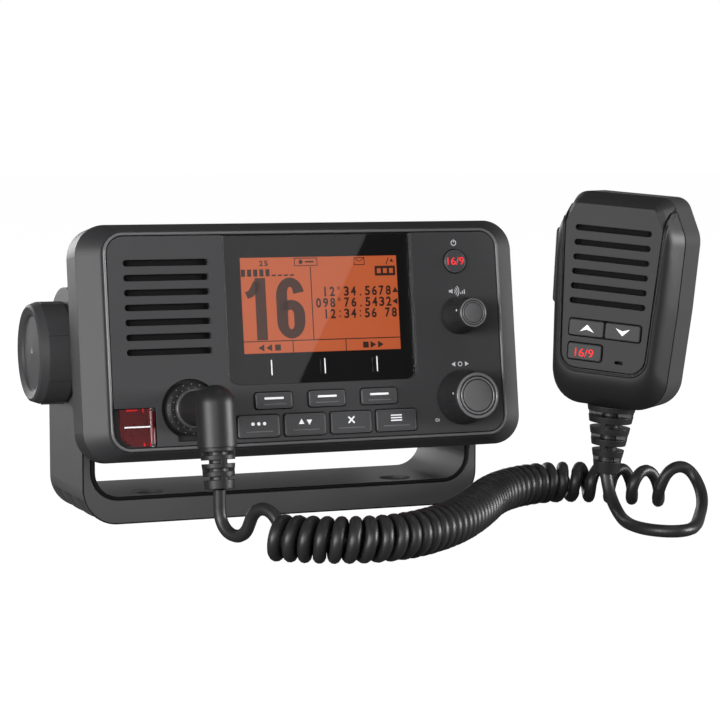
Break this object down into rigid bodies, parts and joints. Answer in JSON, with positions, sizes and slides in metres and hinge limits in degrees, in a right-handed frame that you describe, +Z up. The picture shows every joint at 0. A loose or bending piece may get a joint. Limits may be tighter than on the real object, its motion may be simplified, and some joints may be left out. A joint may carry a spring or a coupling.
{
  "type": "vhf marine radio",
  "caption": "Fixed-mount marine VHF radio on a tilting U bracket, with display, keys, two knobs, finned rear chassis and a curly-corded handset",
  "frame": {"origin": "Centre of the mounting bracket's flat underside, on the mounting surface", "axes": "+X to the right as seen from the front, +Y to the rear, +Z up"},
  "size_m": [0.2452, 0.2159, 0.122],
  "materials": {
    "bracket_plastic": "fine textured moulding",
    "knob_rubber": "satin grip",
    "stud_steel": "machined",
    "bezel_plastic": "satin moulding",
    "panel_plastic": "fine textured moulding",
    "window_glass": "polished",
    "lcd": "backlit orange panel",
    "key_rubber": "matt keys",
    "board": "solder mask",
    "brass_parts": "turned",
    "distress_red": "red moulding",
    "cover_red": "translucent red cover",
    "chassis_metal": "black coated casting",
    "gasket": "soft seal",
    "speaker": "cone and frame",
    "plug_rubber": "moulded",
    "socket_metal": "plated",
    "handset_plastic": "fine textured moulding",
    "cord": "smooth jacket"
  },
  "bodies": {
    "base": {"bracket": "bracket_plastic", "cord_curl": "cord"},
    "knob_left": {"thumb_knob_left": "knob_rubber", "knob_stud_left": "stud_steel"},
    "knob_right": {"thumb_knob_right": "knob_rubber", "knob_stud_right": "stud_steel"},
    "radio": {"front_bezel": "bezel_plastic", "face_panel": "panel_plastic", "display_window": "window_glass", "display_module": "lcd", "keypad_mat": "gasket", "main_board": "board", "speaker_driver": "speaker", "mic_socket": "socket_metal", "plug_elbow": "plug_rubber", "plug_strain_relief": "plug_rubber", "cord_lead": "cord", "housing_gasket": "gasket", "rear_chassis": "chassis_metal", "housing_screws": "stud_steel", "transmitter_board": "board", "antenna_socket": "socket_metal", "cable_gland": "plug_rubber", "volume_encoder": "brass_parts", "select_encoder": "brass_parts", "distress_well": "panel_plastic", "cover_pin": "stud_steel", "pivot_inserts": "brass_parts", "friction_washers": "gasket"},
    "handset": {"handset_front": "handset_plastic", "handset_rear": "handset_plastic", "handset_grille": "panel_plastic", "handset_screws": "stud_steel", "handset_board": "board", "handset_speaker": "speaker", "microphone_capsule": "socket_metal", "handset_strain_relief": "plug_rubber", "hang_button": "socket_metal", "cord_tail": "cord"},
    "volume_press": {"volume_plunger": "stud_steel"},
    "volume_turn": {"volume_knob": "knob_rubber", "volume_shaft": "stud_steel"},
    "select_press": {"select_plunger": "stud_steel"},
    "select_turn": {"select_knob": "knob_rubber", "select_shaft": "stud_steel"},
    "cover": {"distress_cover": "cover_red"},
    "ring": {"plug_ring": "socket_metal"},
    "soft_1": {"soft_key_1": "key_rubber"},
    "soft_2": {"soft_key_2": "key_rubber"},
    "soft_3": {"soft_key_3": "key_rubber"},
    "function_1": {"function_key_1": "key_rubber"},
    "function_2": {"function_key_2": "key_rubber"},
    "function_3": {"function_key_3": "key_rubber"},
    "function_4": {"function_key_4": "key_rubber"},
    "power": {"power_button": "key_rubber"},
    "distress": {"distress_key": "distress_red"},
    "talk": {"talk_key": "key_rubber"},
    "handset_up": {"handset_up_key": "key_rubber"},
    "handset_down": {"handset_down_key": "key_rubber"},
    "handset_channel": {"handset_channel_key": "key_rubber"}
  },
  "joints": [
    {"name": "radio_tilt", "type": "hinge", "parent": "base", "child": "radio", "pos_m": [0, 0, 0.062], "axis": [1, 0, 0], "range_deg": [-20, 10], "deforming": ["cord_lead"]},
    {"name": "knob_left_turn", "type": "hinge", "parent": "base", "child": "knob_left", "pos_m": [-0.085, 0, 0.062], "axis": [-1, 0, 0], "continuous": true},
    {"name": "knob_right_turn", "type": "hinge", "parent": "base", "child": "knob_right", "pos_m": [0.085, 0, 0.062], "axis": [1, 0, 0], "continuous": true},
    {"name": "soft_1_press", "type": "slide", "parent": "radio", "child": "soft_1", "axis": [0, 0.9903, -0.1392], "range_m": [0, 0.0007], "stiffness_N_per_m": 300},
    {"name": "soft_2_press", "type": "slide", "parent": "radio", "child": "soft_2", "axis": [0, 0.9903, -0.1392], "range_m": [0, 0.0007], "stiffness_N_per_m": 300},
    {"name": "soft_3_press", "type": "slide", "parent": "radio", "child": "soft_3", "axis": [0, 0.9903, -0.1392], "range_m": [0, 0.0007], "stiffness_N_per_m": 300},
    {"name": "function_1_press", "type": "slide", "parent": "radio", "child": "function_1", "axis": [0, 0.9903, -0.1392], "range_m": [0, 0.0007], "stiffness_N_per_m": 300},
    {"name": "function_2_press", "type": "slide", "parent": "radio", "child": "function_2", "axis": [0, 0.9903, -0.1392], "range_m": [0, 0.0007], "stiffness_N_per_m": 300},
    {"name": "function_3_press", "type": "slide", "parent": "radio", "child": "function_3", "axis": [0, 0.9903, -0.1392], "range_m": [0, 0.0007], "stiffness_N_per_m": 300},
    {"name": "function_4_press", "type": "slide", "parent": "radio", "child": "function_4", "axis": [0, 0.9903, -0.1392], "range_m": [0, 0.0007], "stiffness_N_per_m": 300},
    {"name": "power_press", "type": "slide", "parent": "radio", "child": "power", "axis": [0, 0.9903, -0.1392], "range_m": [0, 0.0007], "stiffness_N_per_m": 300},
    {"name": "distress_press", "type": "slide", "parent": "radio", "child": "distress", "axis": [0, 0.9903, -0.1392], "range_m": [0, 0.0005], "stiffness_N_per_m": 600},
    {"name": "volume_press", "type": "slide", "parent": "radio", "child": "volume_press", "axis": [0, 0.9903, -0.1392], "range_m": [0, 0.0005], "stiffness_N_per_m": 600},
    {"name": "volume_turn", "type": "hinge", "parent": "volume_press", "child": "volume_turn", "pos_m": [0.0586, -0.05065, 0.07528], "axis": [0, -0.9903, 0.1392], "continuous": true},
    {"name": "select_press", "type": "slide", "parent": "radio", "child": "select_press", "axis": [0, 0.9903, -0.1392], "range_m": [0, 0.0005], "stiffness_N_per_m": 600},
    {"name": "select_turn", "type": "hinge", "parent": "select_press", "child": "select_turn", "pos_m": [0.0586, -0.05489, 0.04507], "axis": [0, -0.9903, 0.1392], "continuous": true},
    {"name": "cover_hinge", "type": "hinge", "parent": "radio", "child": "cover", "pos_m": [-0.0615, -0.05483, 0.03901], "axis": [0, 0.1392, 0.9903], "range_deg": [0, 90], "stiffness_Nm_per_rad": 0.002, "springref_deg": -20.05},
    {"name": "plug_ring_turn", "type": "hinge", "parent": "radio", "child": "ring", "pos_m": [-0.0471, -0.0549, 0.04498], "axis": [0, -0.9903, 0.1392], "continuous": true},
    {"name": "handset_lift", "type": "slide", "parent": "base", "child": "handset", "axis": [0, 0, 1], "range_m": [0, 0.08], "deforming": ["cord_tail"]},
    {"name": "talk_press", "type": "slide", "parent": "handset", "child": "talk", "axis": [0.6642, -0.7455, -0.0556], "range_m": [0, 0.0012], "stiffness_N_per_m": 400},
    {"name": "handset_up_press", "type": "slide", "parent": "handset", "child": "handset_up", "axis": [0.7466, 0.6652, 0], "range_m": [0, 0.0007], "stiffness_N_per_m": 300},
    {"name": "handset_down_press", "type": "slide", "parent": "handset", "child": "handset_down", "axis": [0.7466, 0.6652, 0], "range_m": [0, 0.0007], "stiffness_N_per_m": 300},
    {"name": "handset_channel_press", "type": "slide", "parent": "handset", "child": "handset_channel", "axis": [0.7466, 0.6652, 0], "range_m": [0, 0.0007], "stiffness_N_per_m": 300}
  ]
}
